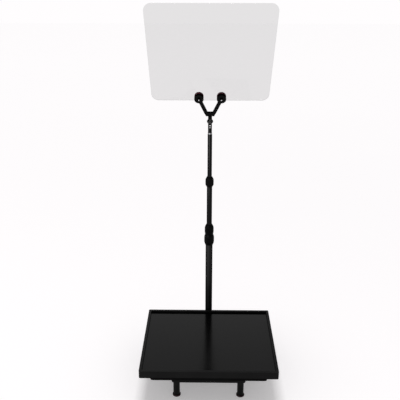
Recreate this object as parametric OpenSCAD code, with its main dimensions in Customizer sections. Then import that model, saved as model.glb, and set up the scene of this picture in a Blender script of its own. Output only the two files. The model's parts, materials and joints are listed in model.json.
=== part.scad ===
// Teleprompter: a flat monitor on a low base, and a telescopic pole that holds a tilted sheet of
// beam-splitter glass above it. Millimetres, +Z up, the user looks along +Y.

/* [Monitor] */
// Width of the monitor
monitor_w = 407; // [400:1:424]
// Depth of the monitor, from its front edge to its back edge
monitor_d = 340; // [330:1:350]
// Height of the monitor's front frame with the back cover's flange
bezel_h = 24; // [22:1:28]
// Width of the rim around the screen
rim_w = 8; // [8:0.5:12]
// Depth of the screen below the rim
screen_recess = 6; // [4:0.5:7]
// Height of the rear housing under the front frame
housing_h = 29; // [29:1:40]
// Inset of the rear housing from the monitor's edges
housing_inset = 29.5; // [28:0.5:36]

/* [Base] */
// Height of the base plate's top above the floor
base_h = 75; // [70:1:85]
// Thickness of the base plate
plate_t = 3; // [2:0.5:4]
// Width of the base plate and the crossbars
base_w = 222; // [220:1:230]
// Height of the crossbars
crossbar_h = 16; // [12:1:18]
// Diameter of the legs
leg_d = 20; // [16:1:21]
// Distance of each leg from the middle
leg_x = 97; // [88:1:97]
// Diameter of the rubber feet
foot_d = 25; // [24.5:0.5:26]
// Height of the rubber feet
foot_h = 6; // [5:0.5:12]

/* [Pole] */
// Distance of the pole's axis behind the monitor
pole_gap = 20; // [19:0.5:24]
// Outer diameters of the four tubes, lowest first
tube_d = [23, 20, 17, 14]; // [14:1:23]
// Wall thickness of the tubes
tube_wall = 1.2; // [1:0.1:1.2]
// Heights of the tubes' tops above the floor
tube_top = [388, 424, 588, 741]; // [388:1:741]
// Lengths of the four tubes
tube_len = [310, 340, 356, 363]; // [310:1:363]
// Diameters of the twist-lock collars, lowest first
collar_d = [33, 30, 27]; // [27:1:33]
// Lengths of the collars
collar_len = [37.7, 32.7, 33.4]; // [32:0.1:38]
// How far each collar reaches below its tube's top
collar_drop = [21, 18.7, 19]; // [18:0.1:21]

/* [Head] */
// Height of the tilt knuckle's centre above the floor
knuckle_z = 781; // [780:1:784]
// Diameter of the tilt knuckle
knuckle_d = 18; // [17:0.5:19]
// Forward tilt of the glass from upright
glass_tilt = 22; // [0:1:45]
// Width of the glass along its top edge
glass_top_w = 365; // [340:1:380]
// Width of the glass along its bottom edge
glass_bottom_w = 349; // [320:1:360]
// Height of the glass along its slope
glass_len = 303.4; // [280:0.1:320]
// Thickness of the glass
glass_t = 3; // [2:0.5:4]
// Radius of the glass's corners
glass_r = 22; // [15:1:30]
// Distance of the glass's bottom edge above the knuckle's centre
glass_start = 72.6; // [66:0.1:73]
// Distance of each clamp from the middle
clamp_x = 33.6; // [32:0.1:38]
// Distance of the clamps above the knuckle's centre
clamp_s = 81.4; // [80:0.1:84]
// Diameter of the clamps
clamp_d = 28; // [26:1:30]

/* [Hidden] */
$fn = 72;
FIT = 0.05;
GAP = 0.3;
EPS = 0.01;

// Monitor
flange_t = 2.5;
wall = 2.5;
frame_wall = 6;
corner_r = 4;
housing_r = 8;
panel_t = 3;
socket_knob_reach = 42;
panel_play = 0.4;
housing_screw_y = 130;
housing_screw_r = 1.25;
housing_screw_head_r = 2.3;
housing_screw_len = 11;
total_d = monitor_d + pole_gap + socket_knob_reach;
front_y = -total_d / 2;
monitor_y = front_y + monitor_d / 2;
pole_y = front_y + monitor_d + pole_gap;
housing_z = base_h;
flange_z = base_h + housing_h;
frame_z = flange_z + flange_t;
rim_z = flange_z + bezel_h;
screen_z = rim_z - screen_recess;
housing_w = monitor_w - 2 * housing_inset;
housing_d = monitor_d - 2 * housing_inset;
housing_back = monitor_y + housing_d / 2;

// Electronics
board_w = 240;
board_d = 130;
board_t = 1.6;
board_z = housing_z + 12;
board_top = board_z + board_t;
board_back = housing_back - wall - 2.5;
board_y = board_back - board_d / 2;
post_r = 3;
vesa = 100;
vesa_plate = 124;
vesa_plate_t = 1.6;
vesa_post_h = 7;
m4_r = 2;
m4_hole_r = 2.2;
m5_r = 2.5;
vent_count = 7;
vent_pitch = 7;
vent_w = 2.5;
vent_len = 150;
button_pitch = 14;
button_first_y = monitor_y - 1.5 * button_pitch;
button_z = housing_z + 17;
button_size = [8, 4];
button_lip = 1;
button_inner_x = housing_w / 2 - wall - 0.6;
switch_top_x = button_inner_x - 2.5;
switch_h = 3.4;
port_play = 0.2;
dc_x = 100;
dc_z = board_top + 5.5;
dc_size = [9, 13, 11];
hdmi_x = 62;
hdmi_z = board_top + 2.8;
hdmi_size = [15, 11, 5.6];
vga_x = -52;
vga_z = board_top + 6.2;
vga_size = [17, 14, 8.6];
vga_plate = [31, 2, 12.4];
bnc_x = -100;
bnc_z = board_top + 6;
bnc_r = 4.8;

// Base
plate_z = base_h - plate_t;
crossbar_z = plate_z - crossbar_h;
crossbar_d = 30;
front_leg_y = front_y + 59;
rear_leg_y = pole_y - 20;
plate_front = front_y + 40;
plate_back = pole_y + 36;
plate_r = 10;
crossbar_chamfer = 4;
leg_bottom = 2;
foot_chamfer = 1.5;
foot_lip = 1;
leg_screw_r = 3;
leg_places = [[-1, front_leg_y], [1, front_leg_y], [-1, rear_leg_y], [1, rear_leg_y]];

// Pole
socket_flange_r = 32;
socket_flange_t = 6;
socket_r = 16;
socket_top = base_h + 34;
socket_floor = 3;
socket_knob_z = base_h + 18;
socket_knob_r = 10;
socket_knob_t = 12;
socket_knob_stem_r = 3;
socket_knob_hub_r = 5.5;
socket_screw_pcd = 50;
socket_screw_angles = [90, 210, 330];
tube_r = tube_d / 2;
seat_wall = 1.5;
seat_lip = 4;
bush_h = 8;
bush_wall = 2.2;
guide_flange = 4;
guide_plug = 12;
guide_wall = 2;
collar_grooves = 12;

// Head
knuckle_r = knuckle_d / 2;
tongue_t = 6;
pivot_r = 2;
neck_r = 6;
cheek_x = knuckle_r - 0.8;
spigot_r = 4;
spigot_len = 24;
spigot_plug = 18;
ring_h = 5;
ring_r = 6.75;
adapter_z = tube_top[3] + ring_h + GAP;
adapter_bore_top = knuckle_z - 10.6;
adapter_screw_z = [knuckle_z - 12.4, knuckle_z - 18.4];
adapter_screw_r = 1.5;
adapter_screw_head_r = 1.8;
slot_floor = knuckle_r + GAP;
bar_low = 21;
bar_high = 34;
bar_half = [12.3, 18.3];
arm_w = 10;
arm_foot = [12.3, 32];
fork_t = 7;
hub_r = 4.5;
hub_h = 3.7;
pad_t = 1;
pad_r = 11;
glass_front = fork_t / 2 + pad_t;
knob_front = glass_front + glass_t + pad_t;
knob_t = 9;
knob_ring_t = 4;
knob_end = knob_front + knob_t;
knob_grooves = 12;
clamp_r = clamp_d / 2;
clamp_stud_r = 2;
clamp_stud_start = -fork_t / 2 - 5.7;
clamp_stud_end = knob_end - 2.5;
glass_hole_r = 4;
ARC_STEPS = 10;

// ---- helpers

function unit(v) = v / norm(v);

// The arc that rounds corner p, between its neighbours a and b, in an anticlockwise outline
function corner_arc(a, p, b, r) =
    let (
        u = unit(a - p),
        v = unit(b - p),
        half = acos(u * v) / 2,
        c = p + unit(u + v) * r / sin(half),
        from = p + u * r / tan(half) - c,
        start = atan2(from.y, from.x),
        sweep = 180 - 2 * half
    )
    [for (i = [0:ARC_STEPS]) c + r * [
        cos(start + sweep * i / ARC_STEPS),
        sin(start + sweep * i / ARC_STEPS)
    ]];

function rounded(pts, r) =
    let (n = len(pts))
    [for (i = [0:n - 1]) each corner_arc(pts[(i + n - 1) % n], pts[i], pts[(i + 1) % n], r)];

// A flat slab with rounded corners, centred on x and y, its underside at z = 0
module slab(w, d, h, r) {
    linear_extrude(height = h) union() {
        square([w - 2 * r, d], center = true);
        square([w, d - 2 * r], center = true);
        for (x = [-1, 1], y = [-1, 1]) translate([x * (w / 2 - r), y * (d / 2 - r)]) circle(r);
    }
}

// A cylinder that runs along +Y from the origin
module rod_y(r, h) {
    rotate([-90, 0, 0]) cylinder(r = r, h = h);
}

// A cylinder that runs along +X from the origin
module rod_x(r, h) {
    rotate([0, 90, 0]) cylinder(r = r, h = h);
}

module at_monitor(z) {
    translate([0, monitor_y, z]) children();
}

module at_pole(z) {
    translate([0, pole_y, z]) children();
}

// The head's own frame: z runs up the glass, and y runs out of its back
module at_head() {
    at_pole(knuckle_z) rotate([glass_tilt, 0, 0]) children();
}

module at_clamp(side) {
    at_head() translate([side * clamp_x, 0, clamp_s]) children();
}

// ---- base

module base_plate() {
    mid = (plate_front + plate_back) / 2;
    color("#1b1b1c") difference() {
        translate([0, mid, plate_z]) slab(base_w, plate_back - plate_front, plate_t, plate_r);
        for (p = leg_places) translate([p[0] * leg_x, p[1], plate_z - EPS])
            cylinder(r1 = leg_screw_r, r2 = 2 * leg_screw_r, h = plate_t + 2 * EPS);
        at_monitor(plate_z - 1) vesa_pattern() cylinder(r = m4_hole_r, h = plate_t + 2);
        at_pole(plate_z - 1) socket_pattern() cylinder(r = m5_r, h = plate_t + 2);
    }
}

module crossbar(y) {
    half = base_w / 2;
    outline = [
        [-half, crossbar_h],
        [-half, crossbar_chamfer],
        [crossbar_chamfer - half, 0],
        [half - crossbar_chamfer, 0],
        [half, crossbar_chamfer],
        [half, crossbar_h]
    ];
    color("#1b1b1c") difference() {
        translate([0, y + crossbar_d / 2, crossbar_z]) rotate([90, 0, 0])
            linear_extrude(height = crossbar_d) polygon(outline);
        for (side = [-1, 1]) translate([side * leg_x, y, crossbar_z - 1])
            cylinder(r = leg_screw_r, h = crossbar_h + 2);
        at_pole(crossbar_z + 3) socket_pattern() cylinder(r = m5_r, h = crossbar_h);
    }
}

module crossbar_front() crossbar(front_leg_y);
module crossbar_rear() crossbar(rear_leg_y);

module leg(side, y) {
    color("#151516") translate([side * leg_x, y, 0]) difference() {
        translate([0, 0, leg_bottom]) cylinder(d = leg_d, h = crossbar_z - leg_bottom);
        translate([0, 0, crossbar_z - 13]) cylinder(r = leg_screw_r, h = 14);
    }
}

module leg_front_left() leg(-1, front_leg_y);
module leg_front_right() leg(1, front_leg_y);
module leg_rear_left() leg(-1, rear_leg_y);
module leg_rear_right() leg(1, rear_leg_y);

// A rubber cup around the end of a leg
module foot(side, y) {
    r = foot_d / 2;
    color("#4a0d14") translate([side * leg_x, y, 0]) rotate_extrude() polygon([
        [0, 0],
        [r - foot_chamfer, 0],
        [r, foot_chamfer],
        [r, foot_h - foot_lip],
        [r - foot_lip, foot_h],
        [leg_d / 2, foot_h],
        [leg_d / 2, leg_bottom],
        [0, leg_bottom]
    ]);
}

module foot_front_left() foot(-1, front_leg_y);
module foot_front_right() foot(1, front_leg_y);
module foot_rear_left() foot(-1, rear_leg_y);
module foot_rear_right() foot(1, rear_leg_y);

// Countersunk screws that hold the plate and a crossbar to each leg
module frame_screws() {
    shank = crossbar_h + 12;
    color("#8b8d90") for (p = leg_places) translate([p[0] * leg_x, p[1], plate_z]) difference() {
        union() {
            cylinder(r1 = leg_screw_r, r2 = 2 * leg_screw_r, h = plate_t);
            translate([0, 0, -shank]) cylinder(r = leg_screw_r, h = shank + EPS);
        }
        translate([0, 0, plate_t - 2]) cylinder(r = 2, h = 3, $fn = 6);
    }
}

// ---- monitor

module bezel() {
    color("#161617") difference() {
        at_monitor(frame_z) slab(monitor_w, monitor_d, rim_z - frame_z, corner_r);
        at_monitor(frame_z - 1) slab(
            monitor_w - 2 * frame_wall,
            monitor_d - 2 * frame_wall,
            screen_z - frame_z + 1,
            1
        );
        at_monitor(frame_z) slab(monitor_w - 2 * rim_w, monitor_d - 2 * rim_w, bezel_h, 1.5);
        housing_screw_places() translate([0, 0, frame_z - 1])
            cylinder(r = housing_screw_r, h = housing_screw_len);
    }
}

module screen_panel() {
    w = monitor_w - 2 * frame_wall - panel_play;
    d = monitor_d - 2 * frame_wall - panel_play;
    color("#0b0b0c") at_monitor(screen_z - panel_t) slab(w, d, panel_t, 1);
}

// Light guide, diffusers and steel tray behind the panel, with a driver strip along one edge
module backlight() {
    w = monitor_w - 2 * (frame_wall + panel_play);
    d = monitor_d - 2 * (frame_wall + panel_play);
    h = screen_z - panel_t - frame_z;
    color("#c9ccd0") difference() {
        at_monitor(frame_z) slab(w, d, h, 1);
        for (i = [-2:2]) at_monitor(frame_z - EPS) translate([i * 60, 0, 0]) slab(24, 200, 1.2, 6);
    }
}

module vesa_pattern() {
    for (x = [-1, 1], y = [-1, 1]) translate([x * vesa / 2, y * vesa / 2, 0]) children();
}

module housing_screw_places() {
    for (x = [-1, 1], y = [-1, 0, 1]) {
        translate([x * (monitor_w - frame_wall) / 2, monitor_y + y * housing_screw_y, 0]) children();
    }
}

module button_places() {
    for (i = [0:3]) translate([0, button_first_y + i * button_pitch, button_z]) children();
}

module port_hole(x, z, size) {
    translate([x, housing_back, z])
        cube([size.x + port_play, 3 * wall, size.z + port_play], center = true);
}

// The back cover: a shallow tray with a flange that closes the front frame
module rear_housing() {
    inner_w = housing_w - 2 * wall;
    inner_d = housing_d - 2 * wall;
    vent_x = base_w / 2 + 8;
    color("#1a1a1b") difference() {
        union() {
            at_monitor(housing_z) slab(housing_w, housing_d, housing_h + flange_t, housing_r);
            at_monitor(flange_z) slab(
                monitor_w - 2 * panel_play,
                monitor_d - 2 * panel_play,
                flange_t,
                corner_r
            );
        }
        difference() {
            at_monitor(housing_z + wall) slab(inner_w, inner_d, housing_h + 9, housing_r - wall);
            translate([0, board_y, 0]) for (x = [-1, 1], y = [-1, 1])
                translate([x * (board_w / 2 - 8), y * (board_d / 2 - 8), housing_z])
                    cylinder(r = post_r, h = board_z - housing_z);
        }
        button_places() translate([housing_w / 2 - wall - 1, 0, 0]) cube(
            [wall * 2 + 4, button_size[0] + 2 * GAP, button_size[1] + 2 * GAP],
            center = true
        );
        at_monitor(housing_z - 1) vesa_pattern() cylinder(r = m4_hole_r, h = wall + 2);
        housing_screw_places() translate([0, 0, flange_z - 1]) {
            cylinder(r = housing_screw_r + FIT, h = flange_t + 2);
            cylinder(r = housing_screw_head_r + 2 * FIT, h = 2.5);
        }
        for (side = [-1, 1], i = [0:vent_count - 1]) at_monitor(housing_z - 1)
            translate([side * (vent_x + i * vent_pitch), 0, 0])
                slab(vent_w, vent_len, wall + 2, vent_w / 2 - EPS);
        port_hole(dc_x, dc_z, dc_size);
        port_hole(hdmi_x, hdmi_z, hdmi_size);
        port_hole(vga_x, vga_z, vga_size);
        translate([bnc_x, housing_back - 2 * wall, bnc_z]) rod_y(bnc_r + FIT, 3 * wall);
    }
}

module housing_screws() {
    color("#8b8d90") housing_screw_places() difference() {
        union() {
            translate([0, 0, flange_z]) cylinder(r = housing_screw_head_r, h = 1.5);
            translate([0, 0, flange_z]) cylinder(r = housing_screw_r, h = housing_screw_len);
        }
        translate([0, 0, flange_z - 1]) cylinder(r = 1, h = 2, $fn = 6);
    }
}

// Steel plate inside the back cover, with a threaded post for each mounting screw
module mount_plate() {
    color("#a9abad") difference() {
        union() {
            at_monitor(housing_z + wall) slab(vesa_plate, vesa_plate, vesa_plate_t, 6);
            at_monitor(housing_z + wall) vesa_pattern() cylinder(r = 2 * m4_r, h = vesa_post_h);
        }
        at_monitor(housing_z) vesa_pattern() cylinder(r = m4_r, h = 12);
        at_monitor(housing_z) slab(60, 60, 12, 4);
    }
}

module mount_screws() {
    color("#2a2a2c") at_monitor(plate_z) vesa_pattern() difference() {
        union() {
            translate([0, 0, -2.5]) cylinder(r = 2 * m4_r, h = 2.5);
            translate([0, 0, -EPS]) cylinder(r = m4_r, h = plate_t + wall + 6);
        }
        translate([0, 0, -3]) cylinder(r = 1.6, h = 2, $fn = 6);
    }
}

module main_board() {
    color("#1f5a35") union() {
        translate([0, board_y, board_z]) slab(board_w, board_d, board_t, 2);
        translate([10, board_y, board_top - EPS]) {
            slab(32, 32, 2, 1);
            for (i = [-4:4]) translate([i * 3.4, 0, 2 - EPS]) slab(1.4, 30, 7, 0.6);
        }
        for (i = [0:3]) translate([60 + i * 12, board_y - 20, board_top - EPS])
            cylinder(r = 4, h = 13);
        translate([-50, board_y - 30, board_top - EPS]) slab(22, 14, 3, 1);
        translate([-50, board_y + 15, board_top - EPS]) slab(18, 18, 2, 1);
        translate([80, board_y + 20, board_top - EPS]) slab(18, 18, 9, 2);
        translate([0, board_y - 58, board_top - EPS]) slab(60, 6, 5, 1);
    }
}

module button_board() {
    length = 4 * button_pitch + 12;
    color("#1f5a35") union() {
        translate([switch_top_x - 4, monitor_y, button_z])
            cube([1.6, length, 18], center = true);
        button_places() translate([switch_top_x - switch_h / 2, 0, 0])
            cube([switch_h, 6, 6], center = true);
        translate([switch_top_x - 4, monitor_y, housing_z + wall + 3])
            cube([1.6, length - 30, 6], center = true);
    }
}

module dc_jack() {
    color("#101010") translate([dc_x, housing_back - 0.4, dc_z]) difference() {
        translate([0, -dc_size.y / 2, 0]) cube(dc_size, center = true);
        difference() {
            translate([0, -9, 0]) rod_y(3.1, 10);
            translate([0, -10, 0]) rod_y(1.2, 9);
        }
    }
}

module hdmi_port() {
    color("#b9bcc0") translate([hdmi_x, housing_back - 0.4, hdmi_z]) difference() {
        translate([0, -hdmi_size.y / 2, 0]) cube(hdmi_size, center = true);
        difference() {
            translate([0, -3.5, 0]) cube([hdmi_size.x - 1, 9, hdmi_size.z - 1], center = true);
            translate([0, -5, 0.3]) cube([11, 9, 1.2], center = true);
        }
    }
}

module vga_port() {
    color("#2c4f9c") translate([vga_x, housing_back, vga_z]) difference() {
        union() {
            translate([0, 2 - vga_size.y / 2, 0]) cube(vga_size, center = true);
            translate([0, -wall - 1.5, 0]) cube(vga_plate, center = true);
        }
        for (row = [-1:1], i = [-2:2]) translate([i * 2.3, -2, row * 2]) rod_y(0.5, 6);
    }
}

module bnc_port() {
    color("#b9bcc0") translate([bnc_x, housing_back, bnc_z]) difference() {
        union() {
            translate([0, -12, 0]) rod_y(bnc_r, 23);
            translate([0, -12, -0.6]) cube([12, 9, 10.8], center = true);
            translate([-5.8, 7, 0]) rod_x(0.9, 11.6);
        }
        difference() {
            translate([0, 3, 0]) rod_y(3.7, 9);
            translate([0, 2, 0]) rod_y(2.4, 8);
        }
        translate([0, 4, 0]) rod_y(0.8, 9);
    }
}

// One push button in the back cover's right wall, with a lip that keeps it in
module button(i) {
    y = button_first_y + i * button_pitch;
    out = housing_w / 2 + 1.2;
    color("#232325") translate([button_inner_x, y, button_z]) union() {
        translate([(out - button_inner_x - 1) / 2, 0, 0]) cube(
            [out - button_inner_x + 1, button_size[0], button_size[1]],
            center = true
        );
        translate([-0.65, 0, 0]) cube(
            [1.3, button_size[0] + 2 * button_lip, button_size[1] + 2 * button_lip],
            center = true
        );
    }
}

module button_power() button(0);
module button_menu() button(1);
module button_up() button(2);
module button_down() button(3);

// ---- pole

module socket_pattern() {
    for (a = socket_screw_angles) rotate([0, 0, a])
        translate([socket_screw_pcd / 2, 0, 0]) children();
}

module pole_socket() {
    color("#1b1b1c") difference() {
        at_pole(base_h) rotate_extrude() polygon([
            [0, 0],
            [socket_flange_r, 0],
            [socket_flange_r, socket_flange_t - 1],
            [socket_flange_r - 1, socket_flange_t],
            [socket_r, socket_flange_t],
            [socket_r, socket_top - base_h - 1],
            [socket_r - 1, socket_top - base_h],
            [tube_r[0] + FIT, socket_top - base_h],
            [tube_r[0] + FIT, socket_floor],
            [0, socket_floor]
        ]);
        at_pole(base_h - 1) socket_pattern() cylinder(r = m5_r, h = socket_flange_t + 2);
        at_pole(socket_knob_z) translate([0, tube_r[0] - 2, 0]) rod_y(socket_knob_stem_r + FIT, socket_r);
    }
}

module socket_screws() {
    shank = socket_flange_t + plate_t + 8;
    color("#8b8d90") at_pole(base_h + socket_flange_t) socket_pattern() difference() {
        union() {
            cylinder(r = 4.2, h = 3.6);
            translate([0, 0, -shank]) cylinder(r = m5_r, h = shank + EPS);
        }
        translate([0, 0, 1.6]) cylinder(r = 2, h = 3, $fn = 6);
    }
}

// Hand knob whose stem pinches the lowest tube in the socket
module socket_knob() {
    stem_start = tube_r[0] + GAP;
    hub_start = socket_r + 0.8;
    knob_start = socket_knob_reach - socket_knob_t;
    color("#202022") at_pole(socket_knob_z) difference() {
        union() {
            translate([0, stem_start, 0]) rod_y(socket_knob_stem_r, knob_start - stem_start + 1);
            translate([0, hub_start, 0]) rod_y(socket_knob_hub_r, knob_start - hub_start + 1);
            translate([0, knob_start, 0]) rod_y(socket_knob_r, socket_knob_t);
        }
        for (i = [0:7]) rotate([0, i * 45, 0]) translate([socket_knob_r + 1, knob_start - 1, 0])
            rod_y(2.4, socket_knob_t + 2);
    }
}

module pole_tube(i) {
    color("#111112") at_pole(tube_top[i] - tube_len[i]) difference() {
        cylinder(r = tube_r[i], h = tube_len[i]);
        translate([0, 0, -1]) cylinder(r = tube_r[i] - tube_wall, h = tube_len[i] + 2);
    }
}

module pole_tube_1() pole_tube(0);
module pole_tube_2() pole_tube(1);
module pole_tube_3() pole_tube(2);
module pole_tube_4() pole_tube(3);

// Threaded ferrule on a tube's top, which the collar turns on
module seat(i) {
    skirt = collar_drop[i] - 2;
    color("#c9ccd0") at_pole(tube_top[i]) rotate_extrude() polygon([
        [tube_r[i], -skirt],
        [tube_r[i] + seat_wall, -skirt],
        [tube_r[i] + seat_wall, seat_lip],
        [tube_r[i + 1] + GAP, seat_lip],
        [tube_r[i + 1] + GAP, 0],
        [tube_r[i], 0]
    ]);
}

module seat_1() seat(0);
module seat_2() seat(1);
module seat_3() seat(2);

// Split nylon bush that grips the inner tube when the collar is tightened
module bush(i) {
    color("#e6e4dc") at_pole(tube_top[i] + seat_lip) difference() {
        cylinder(r = tube_r[i + 1] + bush_wall, h = bush_h);
        translate([0, 0, -1]) cylinder(r = tube_r[i + 1] + FIT, h = bush_h + 2);
        translate([0, -0.75, -1]) cube([tube_r[0] * 2, 1.5, bush_h + 2]);
    }
}

module bush_1() bush(0);
module bush_2() bush(1);
module bush_3() bush(2);

// Barrel-shaped twist-lock collar with finger grooves
module collar(i) {
    r = collar_d[i] / 2;
    h = collar_len[i];
    low = tube_r[i] + 3.1;
    high = tube_r[i + 1] + 3.6;
    steps = 12;
    bore_low = tube_r[i] + seat_wall + GAP;
    bore_high = tube_r[i + 1] + bush_wall + GAP;
    step_z = collar_drop[i] + seat_lip + GAP;
    roof_z = collar_drop[i] + seat_lip + bush_h + GAP;
    barrel = [for (k = [0:steps])
        let (t = k / steps, end = low + (high - low) * t)
        [end + (r - end) * sqrt(1 - pow(abs(2 * t - 1), 4)), h * t]
    ];
    inside = [
        [tube_r[i + 1] + GAP, h],
        [tube_r[i + 1] + GAP, roof_z],
        [bore_high, roof_z],
        [bore_high, step_z],
        [bore_low, step_z],
        [bore_low, 0]
    ];
    color("#18181a") at_pole(tube_top[i] - collar_drop[i]) difference() {
        rotate_extrude() polygon(concat(barrel, inside));
        for (k = [1:collar_grooves]) rotate([0, 0, k * 360 / collar_grooves])
            translate([r - 0.9, -0.8, h * 0.2]) cube([3, 1.6, h * 0.6]);
    }
}

module collar_1() collar(0);
module collar_2() collar(1);
module collar_3() collar(2);

// Nylon guide in the bottom of a sliding tube, which runs in the bore of the tube below
module guide(i) {
    r = tube_r[i] - tube_wall;
    color("#e6e4dc") at_pole(tube_top[i] - tube_len[i]) rotate_extrude() polygon([
        [r - guide_wall, -guide_flange],
        [tube_r[i - 1] - tube_wall - FIT, -guide_flange],
        [tube_r[i - 1] - tube_wall - FIT, 0],
        [r, 0],
        [r, guide_plug],
        [r - guide_wall, guide_plug]
    ]);
}

module guide_2() guide(1);
module guide_3() guide(2);
module guide_4() guide(3);

// ---- head

// Top plug of the pole, with a bright ring and the stud that the adapter turns on
module spigot() {
    plug_r = tube_r[3] - tube_wall;
    color("#d4d6d8") at_pole(tube_top[3]) rotate_extrude() polygon([
        [0, -spigot_plug],
        [plug_r, -spigot_plug],
        [plug_r, 0],
        [ring_r, 0],
        [ring_r, ring_h - 0.6],
        [ring_r - 0.6, ring_h],
        [spigot_r, ring_h],
        [spigot_r, ring_h + spigot_len - 1],
        [spigot_r - 1, ring_h + spigot_len],
        [0, ring_h + spigot_len]
    ]);
}

// Sleeve on the spigot, with the two round cheeks of the tilt knuckle
module adapter() {
    slot = tongue_t + 2 * GAP;
    color("#141415") difference() {
        union() {
            at_pole(adapter_z) cylinder(r = neck_r, h = knuckle_z - 6 - adapter_z);
            at_pole(knuckle_z) intersection() {
                sphere(r = knuckle_r);
                cube([2 * cheek_x, 3 * knuckle_r, 3 * knuckle_r], center = true);
            }
        }
        at_pole(adapter_z - 1) cylinder(r = spigot_r + FIT, h = adapter_bore_top - adapter_z + 1);
        at_pole(knuckle_z - slot_floor) translate([-slot / 2, -15, 0]) cube([slot, 30, 30]);
        at_pole(knuckle_z) translate([-10, 0, 0]) rod_x(pivot_r, 20);
        for (z = adapter_screw_z) at_pole(z) {
            translate([0, -8, 0]) rod_y(adapter_screw_r, 5);
            translate([0, -8, 0]) rod_y(adapter_screw_head_r, 3);
        }
    }
}

module adapter_screws() {
    color("#d4d6d8") for (z = adapter_screw_z) at_pole(z) difference() {
        union() {
            translate([0, -6.4, 0]) rod_y(adapter_screw_head_r, 1.4);
            translate([0, -5.5, 0]) rod_y(adapter_screw_r, 5.5 - spigot_r - GAP);
        }
        translate([0, -7, 0]) rotate([-90, 0, 0]) cylinder(r = 0.9, h = 1.4, $fn = 6);
    }
}

module pivot_bolt() {
    color("#3a3a3d") at_pole(knuckle_z) difference() {
        union() {
            translate([-cheek_x - 1, 0, 0]) rod_x(pivot_r, 2 * cheek_x + 2);
            translate([cheek_x, 0, 0]) rod_x(3.3, 1.2);
            translate([-cheek_x - 1.2, 0, 0]) rotate([0, 90, 0]) cylinder(r = 3.3, h = 1.2, $fn = 6);
        }
        translate([cheek_x + 0.4, 0, 0]) rotate([0, 90, 0]) cylinder(r = 1.4, h = 2, $fn = 6);
    }
}

// The fork's front outline: a crossbar, two arms that spread, and a round boss on each
module fork_outline() {
    polygon([
        [-bar_half[0], bar_low],
        [bar_half[0], bar_low],
        [bar_half[1], bar_high],
        [-bar_half[1], bar_high]
    ]);
    for (side = [-1, 1]) mirror([side < 0 ? 1 : 0, 0]) {
        tip = [clamp_x, clamp_s];
        along = unit(tip - arm_foot);
        across = [along.y, -along.x] * arm_w / 2;
        polygon([arm_foot - across, arm_foot + across, tip + across, tip - across]);
        translate(tip) circle(clamp_r);
    }
}

module yoke() {
    color("#141415") difference() {
        union() {
            at_head() rotate([90, 0, 0]) linear_extrude(height = fork_t, center = true) fork_outline();
            at_head() translate([0, 0, slot_floor]) cylinder(r = neck_r, h = bar_low + 1 - slot_floor);
            at_head() translate([-tongue_t / 2, -5, 0]) cube([tongue_t, 10, slot_floor + 1]);
            at_head() intersection() {
                sphere(r = knuckle_r);
                cube([tongue_t, 3 * knuckle_r, 3 * knuckle_r], center = true);
            }
            for (side = [-1, 1]) at_clamp(side)
                translate([0, -fork_t / 2 - hub_h, 0]) rod_y(hub_r, hub_h + 1);
        }
        at_head() translate([-10, 0, 0]) rod_x(pivot_r + FIT, 20);
        for (side = [-1, 1]) at_clamp(side)
            translate([0, -2 * fork_t, 0]) rod_y(clamp_stud_r, 3 * fork_t);
    }
}

// Rubber pads on both faces of the glass; each front pad has a sleeve that fills the glass's hole
module glass_pads() {
    color("#1d1d1e") for (side = [-1, 1]) at_clamp(side) {
        difference() {
            union() {
                translate([0, fork_t / 2, 0]) rod_y(pad_r, pad_t);
                translate([0, fork_t / 2, 0]) rod_y(glass_hole_r, pad_t + glass_t);
            }
            translate([0, fork_t / 2 - 1, 0]) rod_y(clamp_stud_r, 8);
        }
        difference() {
            translate([0, glass_front + glass_t, 0]) rod_y(pad_r, pad_t);
            translate([0, glass_front, 0]) rod_y(clamp_stud_r, 8);
        }
    }
}

module glass() {
    corners = [
        [-glass_bottom_w / 2, glass_start],
        [glass_bottom_w / 2, glass_start],
        [glass_top_w / 2, glass_start + glass_len],
        [-glass_top_w / 2, glass_start + glass_len]
    ];
    color([0.86, 0.87, 0.88, 0.45]) difference() {
        at_head() translate([0, glass_front + glass_t, 0]) rotate([90, 0, 0])
            linear_extrude(height = glass_t) polygon(rounded(corners, glass_r));
        for (side = [-1, 1]) at_clamp(side) rod_y(glass_hole_r, 12);
    }
}

// Studs that hold the glass: each shows its bright end in front of the fork's hub
module clamp_studs() {
    tip = 0.6;
    color("#d4d6d8") for (side = [-1, 1]) at_clamp(side) rotate([-90, 0, 0]) rotate_extrude() polygon([
        [0, clamp_stud_start],
        [clamp_stud_r - tip, clamp_stud_start],
        [clamp_stud_r, clamp_stud_start + tip],
        [clamp_stud_r, clamp_stud_end - tip],
        [clamp_stud_r - tip, clamp_stud_end],
        [0, clamp_stud_end]
    ]);
}

// Thumb nut behind the glass: a core for the coloured ring, and a grooved grip
module knob(side) {
    grip_start = knob_front + GAP + knob_ring_t;
    color("#18181a") at_clamp(side) difference() {
        union() {
            translate([0, knob_front + GAP, 0]) rod_y(clamp_r - 2, knob_ring_t + 1);
            translate([0, grip_start, 0]) rod_y(clamp_r, knob_end - grip_start);
        }
        translate([0, knob_front - 1, 0]) rod_y(clamp_stud_r + FIT, clamp_stud_end - knob_front + 1.5);
        for (k = [1:knob_grooves]) rotate([0, k * 360 / knob_grooves, 0])
            translate([clamp_r + 0.6, grip_start + 1, 0]) rod_y(1.5, knob_t);
    }
}

module knob_left() knob(-1);
module knob_right() knob(1);

module knob_ring(side) {
    color("#5a1018") at_clamp(side) difference() {
        translate([0, knob_front + GAP, 0]) rod_y(clamp_r, knob_ring_t);
        translate([0, knob_front - 1, 0]) rod_y(clamp_r - 2, knob_ring_t + 3);
    }
}

module knob_ring_left() knob_ring(-1);
module knob_ring_right() knob_ring(1);

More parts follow.
